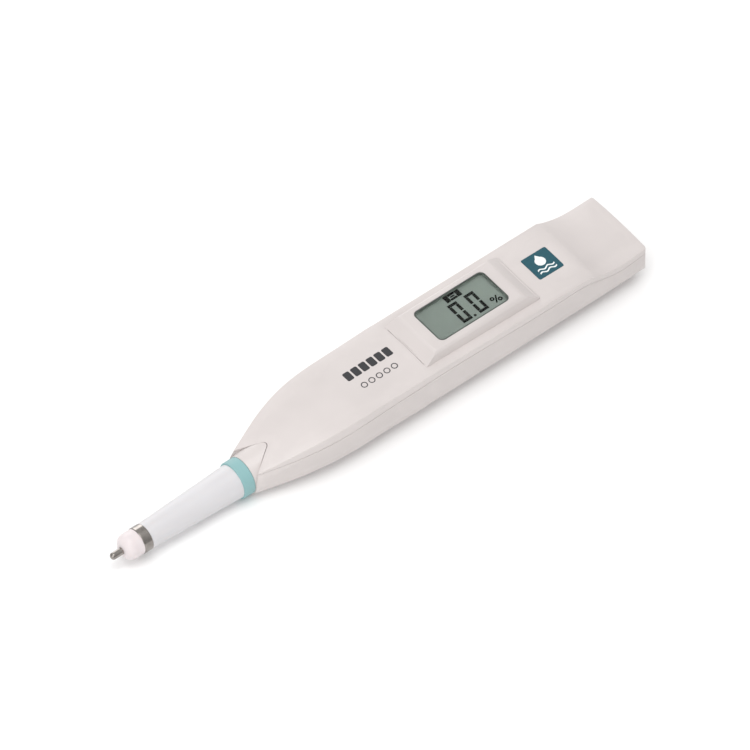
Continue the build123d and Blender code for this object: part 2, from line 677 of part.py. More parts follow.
with BuildPart() as amplifier_chip:
    add(plate(board_front + 8.0, 0, board_top, board_top + 1.5, 4.9, 3.9, 0.2))
save(amplifier_chip, "amplifier_chip")

with BuildPart() as timing_crystal:
    with Locations(Location((chip_x, CHIP_SIZE / 2 + 2.5, board_top + 1.0), (0, 90, 0))):
        Cylinder(1.0, 6.0)
save(timing_crystal, "timing_crystal")

with BuildPart() as small_components:
    with Locations((board_front + 12.0, 0, board_top + 0.25)):
        with GridLocations(0, 3.0, 1, 5):
            Box(0.8, 1.6, 0.5)
    with Locations((chip_x + CHIP_SIZE / 2 + 2.0, 0, board_top + 0.25)):
        with GridLocations(0, 3.0, 1, 6):
            Box(0.8, 1.6, 0.5)
    with Locations((button_x + 12.0, 0, board_bottom - 0.4)):
        with GridLocations(3.0, 6.0, 4, 2):
            Box(1.6, 1.2, 0.8)
save(small_components, "small_components")

# --- the power button and its switch ------------------------------------------------------

with BuildPart() as power_switch:
    add(plate(button_x, 0, switch_bottom, board_bottom, SWITCH_SIZE, SWITCH_SIZE, 0.4))
    post(button_x, 0, switch_bottom - 1, switch_bottom + 0.6 + BUTTON_TRAVEL + 0.3,
         PLUNGER_DIAMETER / 2 + 0.05, Mode.SUBTRACT)
save(power_switch, "power_switch")

with BuildPart() as switch_plunger:
    post(button_x, 0, plunger_bottom, switch_bottom + 0.6, PLUNGER_DIAMETER / 2)
save(switch_plunger, "switch_plunger")

seal_top = WALL + BUTTON_SEAL_THICKNESS
flange_bottom = seal_top + FIT
with BuildPart() as power_button:
    add(plate(button_x, 0, BUTTON_RECESS, flange_bottom, BUTTON_LENGTH, BUTTON_WIDTH, BUTTON_WIDTH / 2 - 0.1))
    with Locations((button_x, 0, BUTTON_RECESS - 8.6)):
        Sphere(9.0, mode=Mode.SUBTRACT)
    add(plate(button_x, 0, flange_bottom, flange_bottom + BUTTON_FLANGE, BUTTON_LENGTH + 2 * BUTTON_RIM,
              BUTTON_WIDTH + 2 * BUTTON_RIM, BUTTON_WIDTH / 2 + 1))
    post(button_x, 0, flange_bottom, plunger_bottom - FIT, PLUNGER_DIAMETER / 2 - 0.15)
save(power_button, "power_button")

with BuildPart() as button_seal:
    add(plate(button_x, 0, WALL, seal_top, BUTTON_LENGTH + 2 * BUTTON_RIM - 0.2,
              BUTTON_WIDTH + 2 * BUTTON_RIM - 0.2, BUTTON_WIDTH / 2 + 1))
    add(plate(button_x, 0, 0, seal_top + 1, BUTTON_LENGTH + 4 * SLIDE, BUTTON_WIDTH + 4 * SLIDE,
              BUTTON_WIDTH / 2), mode=Mode.SUBTRACT)
save(button_seal, "button_seal")

# --- the battery bay ----------------------------------------------------------------------

with BuildPart() as battery_cell:
    post(cell_x, 0, cell_bottom, cell_top, CELL_DIAMETER / 2)
    fillet(battery_cell.faces().sort_by(Axis.Z)[0].edges(), 0.5)
save(battery_cell, "battery_cell")

holder_front = cell_x - CELL_DIAMETER / 2 - 1.0
holder_rear = cell_x + CELL_DIAMETER / 2 + 1.3
holder_half = side_half - HOLDER_SIDE_GAP
contact_face = cell_x - CELL_DIAMETER / 2 - FIT
minus_tab_x = cell_x - 5.6
half_strip = CONTACT_WIDTH / 2 + SLIDE

with BuildPart() as battery_holder:
    box_between((holder_front, -holder_half, shelf_top), (holder_rear, holder_half, cell_roof + HOLDER_ROOF))
    post(cell_x, 0, 0, cell_roof, cell_hole_radius, Mode.SUBTRACT)
    box_between((contact_face - CONTACT_THICKNESS - SLIDE, -half_strip, 0),
                (contact_face + 0.5, half_strip, bezel_top), Mode.SUBTRACT)
    box_between((minus_tab_x - CONTACT_THICKNESS - SLIDE, -half_strip, 0),
                (minus_tab_x + SLIDE, half_strip, bezel_top), Mode.SUBTRACT)
save(battery_holder, "battery_holder")

# The positive contact stands beside the cell's rim, and its tab turns forward over the holder's wall.
plus_back = contact_face - CONTACT_THICKNESS
plus_foot = shelf_top + SLIDE
plus_tab_end = plus_back - 2.2
tab_underside = contact_tab_z - CONTACT_THICKNESS
with BuildPart() as positive_contact:
    add(strip(((contact_face, plus_foot), (contact_face, contact_tab_z), (plus_tab_end, contact_tab_z),
               (plus_tab_end, tab_underside), (plus_back, tab_underside), (plus_back, plus_foot)),
              CONTACT_WIDTH))
save(positive_contact, "positive_contact")

# The negative contact bows down from the holder's roof onto the cell, and its tab stands up through it.
leaf_top = cell_roof - FIT
leaf_underside = leaf_top - CONTACT_THICKNESS
bow_underside = cell_top + FIT
bow_top = bow_underside + CONTACT_THICKNESS
bow_half = 1.5
leaf_end = cell_x + 5.0
tab_back = minus_tab_x - CONTACT_THICKNESS
with BuildPart() as negative_contact:
    add(strip(((tab_back, contact_tab_z), (minus_tab_x, contact_tab_z), (minus_tab_x, leaf_top),
               (minus_tab_x + bow_half, leaf_top), (cell_x - bow_half, bow_top), (cell_x + bow_half, bow_top),
               (leaf_end, leaf_top), (leaf_end, leaf_underside), (cell_x + bow_half, bow_underside),
               (cell_x - bow_half, bow_underside), (minus_tab_x + bow_half, leaf_underside),
               (tab_back, leaf_underside)), CONTACT_WIDTH))
save(negative_contact, "negative_contact")

lead_bridge_z = board_top + 1.1
with BuildPart() as battery_leads:
    for y, start_x in ((1.6, plus_back - 1.4), (-1.6, minus_tab_x - CONTACT_THICKNESS / 2)):
        add(wire(((start_x, y, contact_tab_z + FIT), (start_x, y, lead_bridge_z),
                  (board_rear - 1.5, y, lead_bridge_z), (board_rear - 1.5, y, board_top + FIT)), 0.9))
save(battery_leads, "battery_leads")

# The door: the lower part of the tail, with ledges that run over the rails and a tongue in front.
ledge_inside = RAIL_INSIDE + RAIL_WEB + LOOSE
door_edge = DOOR_TOP - SLIDE
with BuildPart() as door_hollow:
    add(inner)
    for side in (-1, 1):
        box_between((door_x - 9, side * ledge_inside, rail_bottom + RAIL_THICKNESS + SLIDE),
                    (tail_x + FAR, side * FAR, door_edge), Mode.SUBTRACT)

with BuildPart() as battery_door:
    add(outer)
    box_between((door_x + SLIDE, -FAR, -1), (tail_x + FAR, FAR, door_edge), Mode.INTERSECT)
    add(door_hollow.part, mode=Mode.SUBTRACT)
    box_between((door_x - TONGUE_LENGTH, -TONGUE_WIDTH / 2, tongue_bottom),
                (door_x + 3.0, TONGUE_WIDTH / 2, tongue_bottom + TONGUE_THICKNESS))
    box_between((door_x + SLIDE, -TONGUE_WIDTH / 2, WALL - 0.5),
                (door_x + 3.0, TONGUE_WIDTH / 2, tongue_bottom + TONGUE_THICKNESS))
    with Locations((door_x + 11.0, 0, 0)):
        with GridLocations(2.4, 0, DOOR_GRIPS, 1):
            Box(1.2, 8.0, 0.8, mode=Mode.SUBTRACT)
save(battery_door, "battery_door")

# --- outside trim -------------------------------------------------------------------------

with BuildPart() as emblem_plate:
    add(plate(emblem_x, 0, boss_top, TOP_HEIGHT + 5, EMBLEM_SIZE, EMBLEM_SIZE, 0.5))
    add(outer.moved(Location((0, 0, FIT - EMBLEM_THICKNESS))), mode=Mode.SUBTRACT)
    add(outer.moved(Location((0, 0, SLIDE / 2))), mode=Mode.INTERSECT)
save(emblem_plate, "emblem_plate")

with BuildPart() as blank_label:
    add(plate(label_x, 0, SLIDE, LABEL_RECESS, LABEL_LENGTH, LABEL_WIDTH, 1.1))
save(blank_label, "blank_label")

# --- the probe ----------------------------------------------------------------------------

pocket_x = ring_x + 0.6
pin_head_end = pocket_x + 1.0
pocket_radius = core_radius - 0.85
with BuildPart() as pin_electrode:
    add(turned((tip_x, 0), (pin_head_end, 0), (pin_head_end, pocket_radius - SLIDE),
               (pocket_x + FIT, pocket_radius - SLIDE), (pocket_x + FIT, pin_radius), (tip_x, pin_radius)))
    fillet(pin_electrode.edges().filter_by(GeomType.CIRCLE).sort_by(Axis.X)[0], pin_radius * 0.9)
save(pin_electrode, "pin_electrode")

lug_start = tube_x - 0.9
with BuildPart() as tip_insulator:
    add(turned((cap_x, pin_radius + FIT), (pocket_x, pin_radius + FIT), (pocket_x, pocket_radius),
               (core_start, pocket_radius), (core_start, core_radius), (ring_x, core_radius),
               (ring_x, CAP_DIAMETER / 2), (cap_x, CAP_DIAMETER / 2)))
    fillet(tip_insulator.edges().filter_by(GeomType.CIRCLE).sort_by(Axis.X)[:2].sort_by(SortBy.RADIUS)[-1],
           CAP_ROUNDING)
    box_between((lug_start - SLIDE, -CAP_DIAMETER, AXIS_HEIGHT - 0.5),
                (core_start + 1, -0.9, AXIS_HEIGHT + 0.5), Mode.SUBTRACT)
save(tip_insulator, "tip_insulator")

with BuildPart() as ring_electrode:
    add(ring(ring_x, tube_x, core_radius + FIT, RING_DIAMETER / 2))
    fillet(ring_electrode.edges().filter_by(GeomType.CIRCLE).sort_by(SortBy.RADIUS)[-2:], 0.25)
    box_between((lug_start, -core_radius - 0.3, AXIS_HEIGHT - 0.4), (tube_x, -1.0, AXIS_HEIGHT + 0.4))
save(ring_electrode, "ring_electrode")

o_ring_x = nose_x + SPIGOT_LENGTH / 2 - FIT
groove_front = o_ring_x - O_RING_SECTION * 0.75
groove_back = o_ring_x + O_RING_SECTION * 0.75
o_ring_floor = spigot_radius + SLIDE / 2 - O_RING_SECTION - 2 * FIT
with BuildPart() as probe_tube:
    add(turned((tube_x, core_radius + FIT), (spigot_end, core_radius + FIT), (spigot_end, spigot_radius),
               (groove_back, spigot_radius), (groove_back, o_ring_floor), (groove_front, o_ring_floor),
               (groove_front, spigot_radius), (collar_x, spigot_radius), (collar_x, TUBE_REAR_DIAMETER / 2),
               (tube_x, TUBE_FRONT_DIAMETER / 2)))
save(probe_tube, "probe_tube")

with BuildPart() as probe_o_ring:
    with BuildSketch(Plane.XZ.shift_origin((0, 0, AXIS_HEIGHT))):
        with Locations((o_ring_x, o_ring_floor + FIT + O_RING_SECTION / 2)):
            Circle(O_RING_SECTION / 2)
    revolve(axis=PROBE_AXIS)
save(probe_o_ring, "probe_o_ring")

with BuildPart() as seal_ring:
    add(ring(collar_x, nose_x, spigot_radius + FIT, COLLAR_DIAMETER / 2))
    fillet(seal_ring.edges().filter_by(GeomType.CIRCLE).sort_by(SortBy.RADIUS)[-2:], 0.3)
save(seal_ring, "seal_ring")

# The leads run through four channels in the core: pin, ring and the two of the thermistor.
channels = {"pin": (1.4, 0), "ring": (-1.4, 0), "upper": (0, 0.6), "lower": (0, -0.6)}
with BuildPart() as probe_core:
    add(ring(core_start + FIT, core_end, 0, core_radius))
    for across, up in channels.values():
        with Locations(Location((core_start, across, AXIS_HEIGHT + up), (0, 90, 0))):
            Cylinder(LEAD_DIAMETER / 2 + SLIDE, 3 * NECK_LENGTH + 2 * TUBE_LENGTH, mode=Mode.SUBTRACT)
save(probe_core, "probe_core")

thermistor_end = core_start - 1.6
with BuildPart() as thermistor:
    add(ring(thermistor_end - THERMISTOR_LENGTH, thermistor_end, 0, THERMISTOR_DIAMETER / 2))
    fillet(thermistor.edges().filter_by(GeomType.CIRCLE).sort_by(Axis.X)[0], THERMISTOR_DIAMETER * 0.4)
save(thermistor, "thermistor")

pad_x = board_front + 1.6
fan_x = front_screw_x - case_boss_radius - 2.2


def probe_lead(channel, start_x, pad_y):
    """One lead from the probe's tip, through the core, round the front boss and up to its pad."""
    across, up = channels[channel]
    z = AXIS_HEIGHT + up
    return wire(((start_x, across, z), (core_end + 1.5, across, z), (fan_x, pad_y, z), (pad_x, pad_y, z),
                 (pad_x, pad_y, board_bottom - FIT)), 1.5)


with BuildPart() as pin_lead:
    add(probe_lead("pin", pin_head_end + FIT, 5.2))
save(pin_lead, "pin_lead")

with BuildPart() as ring_lead:
    add(probe_lead("ring", tube_x + FIT, -5.2))
save(ring_lead, "ring_lead")

with BuildPart() as thermistor_leads:
    add(probe_lead("upper", thermistor_end + FIT, 3.7))
    add(probe_lead("lower", thermistor_end + FIT, -3.7))
save(thermistor_leads, "thermistor_leads")
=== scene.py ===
import math

import bmesh
import bpy
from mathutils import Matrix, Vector
from mathutils.bvhtree import BVHTree


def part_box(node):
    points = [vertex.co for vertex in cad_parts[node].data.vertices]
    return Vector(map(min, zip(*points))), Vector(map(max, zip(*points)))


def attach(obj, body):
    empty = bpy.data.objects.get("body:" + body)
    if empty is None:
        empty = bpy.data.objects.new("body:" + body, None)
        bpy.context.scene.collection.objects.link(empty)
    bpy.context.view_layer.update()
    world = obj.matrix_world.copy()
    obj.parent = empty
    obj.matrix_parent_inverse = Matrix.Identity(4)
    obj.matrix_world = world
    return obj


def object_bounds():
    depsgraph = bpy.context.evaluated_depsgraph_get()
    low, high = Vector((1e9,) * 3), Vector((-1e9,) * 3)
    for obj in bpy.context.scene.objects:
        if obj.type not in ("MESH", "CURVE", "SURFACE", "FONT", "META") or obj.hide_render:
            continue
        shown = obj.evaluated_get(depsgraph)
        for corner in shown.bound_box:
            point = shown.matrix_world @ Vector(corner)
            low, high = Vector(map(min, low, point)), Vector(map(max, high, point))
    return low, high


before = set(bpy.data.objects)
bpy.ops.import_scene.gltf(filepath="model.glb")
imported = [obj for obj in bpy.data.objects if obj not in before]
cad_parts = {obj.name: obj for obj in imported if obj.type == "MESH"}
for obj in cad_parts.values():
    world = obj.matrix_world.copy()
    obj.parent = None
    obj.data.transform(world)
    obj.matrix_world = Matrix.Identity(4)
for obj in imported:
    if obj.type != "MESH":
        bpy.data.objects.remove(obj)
cad_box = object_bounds()

bl_info = {
    "name": "Salinity Meter Looks",
    "version": (1, 0, 0),
    "blender": (4, 5, 0),
    "location": "3D View > Sidebar > Meter",
    "description": "Dresses the meter's frame: finishes, read-out, printed marks and a plain studio",
    "category": "Object",
}

MM = 0.001
SMALL_GAP = 0.01 * MM
CUT_TOLERANCE = 0.1 * SMALL_GAP
DISPLAY_INK_THICKNESS = 0.008 * MM
COVER_INK_THICKNESS = 0.012 * MM
CURVE_STEPS = 32
FLOOR_DROP = 0.02 * MM
FLOOR_HALF_WIDTH = 1.5
VIEW_CENTRE_FROM_TIP = 98.4 * MM
VIEW_CENTRE_BELOW_TOP = 6.85 * MM
SENSOR_WIDTH = 36.0


def place(node):
    """A node's middle, lowest corner and highest corner."""
    low, high = (Vector(corner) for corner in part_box(node))
    return (low + high) / 2, low, high


# --- settings a user would change ---------------------------------------------------------


class CaseSettings(bpy.types.PropertyGroup):
    shell_colour: bpy.props.FloatVectorProperty(
        name="Case colour", description="Warm white of the moulded covers",
        subtype="COLOR", size=3, min=0, max=1, default=(0.640, 0.592, 0.578))
    shell_roughness: bpy.props.FloatProperty(
        name="Case roughness", description="How satin the covers are",
        subtype="FACTOR", min=0, max=1, default=0.42)
    edge_width: bpy.props.FloatProperty(
        name="Edge width", description="Width of the small rounding on moulded edges",
        subtype="DISTANCE", unit="LENGTH", min=0, default=0.35 * MM)


class ProbeSettings(bpy.types.PropertyGroup):
    tube_colour: bpy.props.FloatVectorProperty(
        name="Tube colour", description="Cool white of the probe's tube",
        subtype="COLOR", size=3, min=0, max=1, default=(0.665, 0.652, 0.668))
    cap_colour: bpy.props.FloatVectorProperty(
        name="Cap colour", description="Pinkish white of the insulating tip",
        subtype="COLOR", size=3, min=0, max=1, default=(0.76, 0.69, 0.695))
    ring_colour: bpy.props.FloatVectorProperty(
        name="Seal ring colour", description="Pale teal of the ring before the neck",
        subtype="COLOR", size=3, min=0, max=1, default=(0.255, 0.455, 0.465))


class DisplaySettings(bpy.types.PropertyGroup):
    field_colour: bpy.props.FloatVectorProperty(
        name="Field colour", description="Grey green of the unlit display",
        subtype="COLOR", size=3, min=0, max=1, default=(0.255, 0.302, 0.268))
    digit_height: bpy.props.FloatProperty(
        name="Digit height", description="Height of one digit",
        subtype="DISTANCE", unit="LENGTH", min=0, default=8.1 * MM)
    digit_width: bpy.props.FloatProperty(
        name="Digit width", description="Width of one digit",
        subtype="DISTANCE", unit="LENGTH", min=0, default=3.4 * MM)
    stroke: bpy.props.FloatProperty(
        name="Stroke", description="Width of one segment of a digit",
        subtype="DISTANCE", unit="LENGTH", min=0, default=1.0 * MM)


class PrintSettings(bpy.types.PropertyGroup):
    ink_colour: bpy.props.FloatVectorProperty(
        name="Ink colour", description="Dark grey of the printed marks",
        subtype="COLOR", size=3, min=0, max=1, default=(0.028, 0.028, 0.032))
    emblem_colour: bpy.props.FloatVectorProperty(
        name="Emblem colour", description="Deep teal of the square emblem",
        subtype="COLOR", size=3, min=0, max=1, default=(0.010, 0.085, 0.115))


class StudioSettings(bpy.types.PropertyGroup):
    azimuth: bpy.props.FloatProperty(
        name="Azimuth", description="Camera's turn about the vertical",
        subtype="ANGLE", unit="ROTATION", default=math.radians(-39.06))
    elevation: bpy.props.FloatProperty(
        name="Elevation", description="Camera's height angle",
        subtype="ANGLE", unit="ROTATION", default=math.radians(50.4))
    view_width: bpy.props.FloatProperty(
        name="View width", description="Width of the view at the meter",
        subtype="DISTANCE", unit="LENGTH", default=217.6 * MM)
    lens: bpy.props.FloatProperty(
        name="Lens", description="Focal length in millimetres, long for a flat view", min=20, default=1500.0)
    floor_colour: bpy.props.FloatVectorProperty(
        name="Floor colour", description="Pale floor",
        subtype="COLOR", size=3, min=0, max=1, default=(0.96, 0.96, 0.96))


# --- shader effects that several finishes share -------------------------------------------


def new_group(name, inputs, outputs):
    """An empty shader node group with the given sockets."""
    group = bpy.data.node_groups.new(name, "ShaderNodeTree")
    for label, kind, value in inputs:
        socket = group.interface.new_socket(label, in_out="INPUT", socket_type=kind)
        if value is not None:
            socket.default_value = value
    for label, kind in outputs:
        group.interface.new_socket(label, in_out="OUTPUT", socket_type=kind)
    return group


def node_adder(tree):
    """A short way to add a node with settings and input values or links."""
    def add(kind, inputs=None, **settings):
        node = tree.nodes.new(kind)
        for key, value in settings.items():
            setattr(node, key, value)
        for key, value in (inputs or {}).items():
            if isinstance(value, bpy.types.NodeSocket):
                tree.links.new(value, node.inputs[key])
            else:
                node.inputs[key].default_value = value
        return node
    return add


def mix_colour(add, factor, a, b):
    """A colour mix node's result."""
    mix = add("ShaderNodeMix", data_type="RGBA")
    for index, value in ((0, factor), (6, a), (7, b)):
        if isinstance(value, bpy.types.NodeSocket):
            mix.id_data.links.new(value, mix.inputs[index])
        else:
            mix.inputs[index].default_value = value
    return mix.outputs[2]


def grain_group():
    """Fine moulded grain: a height and a soft mottling mask, both from object coordinates in metres."""
    group = new_group("Moulded grain", [
        ("Grain size", "NodeSocketFloat", 2500.0), ("Mottle size", "NodeSocketFloat", 60.0)],
        [("Height", "NodeSocketFloat"), ("Mottle", "NodeSocketFloat")])
    add = node_adder(group)
    source = add("NodeGroupInput")
    place_node = add("ShaderNodeTexCoord")
    fine = add("ShaderNodeTexNoise", {"Vector": place_node.outputs["Object"],
                                      "Scale": source.outputs["Grain size"], "Detail": 3.0})
    broad = add("ShaderNodeTexNoise", {"Vector": place_node.outputs["Object"],
                                       "Scale": source.outputs["Mottle size"], "Detail": 2.0})
    soft = add("ShaderNodeMapRange", {"Value": broad.outputs["Fac"], "From Min": 0.3, "From Max": 0.7})
    add("NodeGroupOutput", {"Height": fine.outputs["Fac"], "Mottle": soft.outputs["Result"]})
    return group


def edge_wear_and_hollow_shade_group():
    """Masks for rubbed edges and for painted shade in hollows, from how sharply the surface turns."""
    group = new_group("Edge wear and hollow shade", [
        ("Edge start", "NodeSocketFloat", 0.52), ("Edge end", "NodeSocketFloat", 0.60),
        ("Breakup size", "NodeSocketFloat", 400.0)],
        [("Edge", "NodeSocketFloat"), ("Hollow", "NodeSocketFloat")])
    add = node_adder(group)
    source = add("NodeGroupInput")
    shape = add("ShaderNodeNewGeometry")
    where = add("ShaderNodeTexCoord")
    patches = add("ShaderNodeTexNoise", {"Vector": where.outputs["Object"],
                                         "Scale": source.outputs["Breakup size"], "Detail": 4.0})
    edge = add("ShaderNodeMapRange", {"Value": shape.outputs["Pointiness"],
                                      "From Min": source.outputs["Edge start"],
                                      "From Max": source.outputs["Edge end"]})
    worn = add("ShaderNodeMath", {0: edge.outputs["Result"], 1: patches.outputs["Fac"]}, operation="MULTIPLY")
    # Painted shade mask: rises in concave hollows and creases, where shade falls.
    hollow_shade_mask = add("ShaderNodeMapRange", {"Value": shape.outputs["Pointiness"],
                                        "From Min": 0.48, "From Max": 0.40})
    add("NodeGroupOutput", {"Edge": worn.outputs[0], "Hollow": hollow_shade_mask.outputs["Result"]})
    return group


def streak_group():
    """Turned or drawn metal: fine streaks round the X axis, and slow stains."""
    group = new_group("Metal streaks", [
        ("Streak size", "NodeSocketFloat", 6000.0), ("Stain size", "NodeSocketFloat", 350.0)],
        [("Streak", "NodeSocketFloat"), ("Stain", "NodeSocketFloat")])
    add = node_adder(group)
    source = add("NodeGroupInput")
    where = add("ShaderNodeTexCoord")
    stretch = add("ShaderNodeVectorMath", {0: where.outputs["Object"], 1: (1.0, 0.03, 0.03)},
                  operation="MULTIPLY")
    streak = add("ShaderNodeTexNoise", {"Vector": stretch.outputs[0],
                                        "Scale": source.outputs["Streak size"], "Detail": 2.0})
    stain = add("ShaderNodeTexNoise", {"Vector": where.outputs["Object"],
                                       "Scale": source.outputs["Stain size"], "Detail": 5.0})
    add("NodeGroupOutput", {"Streak": streak.outputs["Fac"], "Stain": stain.outputs["Fac"]})
    return group


GROUPS = {}


def effect(name):
    """The shared node group of that name, built the first time it is asked for."""
    if name not in GROUPS:
        GROUPS[name] = {"grain": grain_group, "wear": edge_wear_and_hollow_shade_group, "streaks": streak_group}[name]()
    return GROUPS[name]


# --- finishes -----------------------------------------------------------------------------


def start_material(name):
    """A material with one Principled shader, and a way to add nodes to it."""
    material = bpy.data.materials.new(name)
    material.use_nodes = True
    tree = material.node_tree
    tree.nodes.clear()
    add = node_adder(tree)
    shader = add("ShaderNodeBsdfPrincipled")
    add("ShaderNodeOutputMaterial", {"Surface": shader.outputs[0]})
    return material, add, shader


def link(shader, socket, value):
    shader.id_data.links.new(value, shader.inputs[socket])


def shade(colour, factor):
    """The colour made lighter or darker, with full alpha."""
    return tuple(min(1.0, part * factor) for part in colour) + (1.0,)


def moulded(name, colour, roughness, grain=2500.0, bump=0.04, mottle=0.03, wear=0.25, painted_shade=0.35, coat=0.0,
            soft=0.0):
    """Moulded plastic or rubber with grain, faint mottling, rubbed edges and painted shade darkening its
    hollows.
    """
    material, add, shader = start_material(name)
    texture = add("ShaderNodeGroup", node_tree=effect("grain"))
    texture.inputs["Grain size"].default_value = grain
    masks = add("ShaderNodeGroup", node_tree=effect("wear"))
    base = mix_colour(add, texture.outputs["Mottle"], shade(colour, 1 - mottle), shade(colour, 1 + mottle))
    rub = add("ShaderNodeMath", {0: masks.outputs["Edge"], 1: wear}, operation="MULTIPLY")
    rubbed = mix_colour(add, rub.outputs[0], base, shade(colour, 1.15))
    # Painted shade: the colour is darkened in concave hollows and creases, where shade falls.
    shade_amount = add("ShaderNodeMath", {0: masks.outputs["Hollow"], 1: painted_shade}, operation="MULTIPLY")
    shaded = mix_colour(add, shade_amount.outputs[0], rubbed, shade(colour, 0.72))
    link(shader, "Base Color", shaded)
    rough = add("ShaderNodeMapRange", {"Value": texture.outputs["Mottle"], "To Min": roughness - 0.04,
                                       "To Max": roughness + 0.05})
    link(shader, "Roughness", rough.outputs["Result"])
    relief = add("ShaderNodeBump", {"Strength": bump, "Distance": 0.05 * MM,
                                    "Height": texture.outputs["Height"]})
    link(shader, "Normal", relief.outputs[0])
    shader.inputs["Coat Weight"].default_value = coat
    shader.inputs["Coat Roughness"].default_value = 0.12
    shader.inputs["Subsurface Weight"].default_value = soft
    shader.inputs["Subsurface Radius"].default_value = (0.8 * MM, 0.6 * MM, 0.5 * MM)
    shader.inputs["Subsurface Scale"].default_value = 1.0
    return material


def metal(name, colour, roughness, stain=0.25):
    """Plated or drawn metal with fine streaks and slow staining."""
    material, add, shader = start_material(name)
    marks = add("ShaderNodeGroup", node_tree=effect("streaks"))
    stained = add("ShaderNodeMapRange", {"Value": marks.outputs["Stain"], "From Min": 0.45, "From Max": 0.75,
                                         "To Max": stain})
    base = mix_colour(add, stained.outputs["Result"], shade(colour, 1.0), shade(colour, 0.45))
    link(shader, "Base Color", base)
    rough = add("ShaderNodeMapRange", {"Value": marks.outputs["Streak"], "To Min": roughness * 0.7,
                                       "To Max": roughness * 1.4})
    link(shader, "Roughness", rough.outputs["Result"])
    relief = add("ShaderNodeBump", {"Strength": 0.06, "Distance": 0.02 * MM,
                                    "Height": marks.outputs["Streak"]})
    link(shader, "Normal", relief.outputs[0])
    shader.inputs["Metallic"].default_value = 1.0
    return material


def clear_window(name):
    """Clear moulded window with very light haze."""
    material, add, shader = start_material(name)
    texture = add("ShaderNodeGroup", node_tree=effect("grain"))
    texture.inputs["Mottle size"].default_value = 250.0
    haze = add("ShaderNodeMapRange", {"Value": texture.outputs["Mottle"], "To Min": 0.0, "To Max": 0.015})
    link(shader, "Roughness", haze.outputs["Result"])
    shader.inputs["Base Color"].default_value = (0.98, 0.99, 0.985, 1)
    shader.inputs["Transmission Weight"].default_value = 1.0
    shader.inputs["IOR"].default_value = 1.2
    return material


def printed(name, colour, roughness=0.45, shine=0.5):
    """Printed ink or film, with slightly uneven cover."""
    material, add, shader = start_material(name)
    texture = add("ShaderNodeGroup", node_tree=effect("grain"))
    texture.inputs["Mottle size"].default_value = 900.0
    base = mix_colour(add, texture.outputs["Mottle"], shade(colour, 0.94), shade(colour, 1.06))
    link(shader, "Base Color", base)
    relief = add("ShaderNodeBump", {"Strength": 0.03, "Distance": 0.02 * MM,
                                    "Height": texture.outputs["Height"]})
    link(shader, "Normal", relief.outputs[0])
    shader.inputs["Roughness"].default_value = roughness
    shader.inputs["Specular IOR Level"].default_value = shine
    return material


def display_field(name, colour, low, high):
    """The display's polariser: grey green with a fine cell texture, and painted light that makes it a little
    lighter towards one end.
    """
    material, add, shader = start_material(name)
    where = add("ShaderNodeTexCoord")
    split = add("ShaderNodeSeparateXYZ", {0: where.outputs["Object"]})
    # Painted light: the field grows lighter towards its end at higher X.
    along = add("ShaderNodeMapRange", {"Value": split.outputs[0], "From Min": low, "From Max": high})
    base = mix_colour(add, along.outputs["Result"], shade(colour, 0.95), shade(colour, 1.07))
    texture = add("ShaderNodeGroup", node_tree=effect("grain"))
    texture.inputs["Mottle size"].default_value = 1500.0
    fleck = add("ShaderNodeMath", {0: texture.outputs["Mottle"], 1: 0.12}, operation="MULTIPLY")
    link(shader, "Base Color", mix_colour(add, fleck.outputs[0], base, shade(colour, 0.8)))
    relief = add("ShaderNodeBump", {"Strength": 0.05, "Distance": 0.01 * MM,
                                    "Height": texture.outputs["Height"]})
    link(shader, "Normal", relief.outputs[0])
    shader.inputs["Roughness"].default_value = 0.35
    return material


def circuit_board(name):
    """Solder mask over copper tracks, with plated pads, from a repeating cell pattern."""
    material, add, shader = start_material(name)
    where = add("ShaderNodeTexCoord")
    tracks = add("ShaderNodeTexBrick", {"Vector": where.outputs["Object"], "Scale": 420.0,
                                        "Mortar Size": 0.02, "Color1": (0.02, 0.14, 0.07, 1),
                                        "Color2": (0.03, 0.17, 0.09, 1),
                                        "Mortar": (0.05, 0.27, 0.14, 1)})
    pads = add("ShaderNodeTexVoronoi", {"Vector": where.outputs["Object"], "Scale": 330.0})
    pad = add("ShaderNodeMath", {0: pads.outputs["Distance"], 1: 0.16}, operation="LESS_THAN")
    base = mix_colour(add, pad.outputs[0], tracks.outputs["Color"], (0.72, 0.68, 0.55, 1))
    link(shader, "Base Color", base)
    link(shader, "Metallic", pad.outputs[0])
    relief = add("ShaderNodeBump", {"Strength": 0.3, "Distance": 0.03 * MM, "Height": tracks.outputs["Fac"]})
    link(shader, "Normal", relief.outputs[0])
    shader.inputs["Roughness"].default_value = 0.35
    return material


def finish_nodes(material, *names):
    """Gives one finish to each of the named CAD nodes."""
    for name in names:
        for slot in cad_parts[name].material_slots:
            slot.material = material


def soften_edges(width, angle, *names):
    """Rounds the sharp moulded edges of CAD nodes with modifiers, which leave their meshes alone."""
    for name in names:
        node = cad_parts[name]
        weld = node.modifiers.new("Weld", "WELD")
        weld.merge_threshold = 0.002 * MM
        bevel = node.modifiers.new("Edge", "BEVEL")
        bevel.width = width
        bevel.segments = 3
        bevel.limit_method = "ANGLE"
        bevel.angle_limit = math.radians(angle)
        bevel.use_clamp_overlap = True
        bevel.harden_normals = True


# --- thin printed shapes ------------------------------------------------------------------


def rounded_outline(x, y, length, width, radius, steps=6):
    """A rounded rectangle's corner points, anticlockwise."""
    points = []
    for corner, (sx, sy) in enumerate(((1, 1), (-1, 1), (-1, -1), (1, -1))):
        cx = x + sx * (length / 2 - radius)
        cy = y + sy * (width / 2 - radius)
        for step in range(steps + 1):
            turn = math.radians(90 * corner + 90 * step / steps)
            points.append((cx + radius * math.cos(turn), cy + radius * math.sin(turn)))
    return points


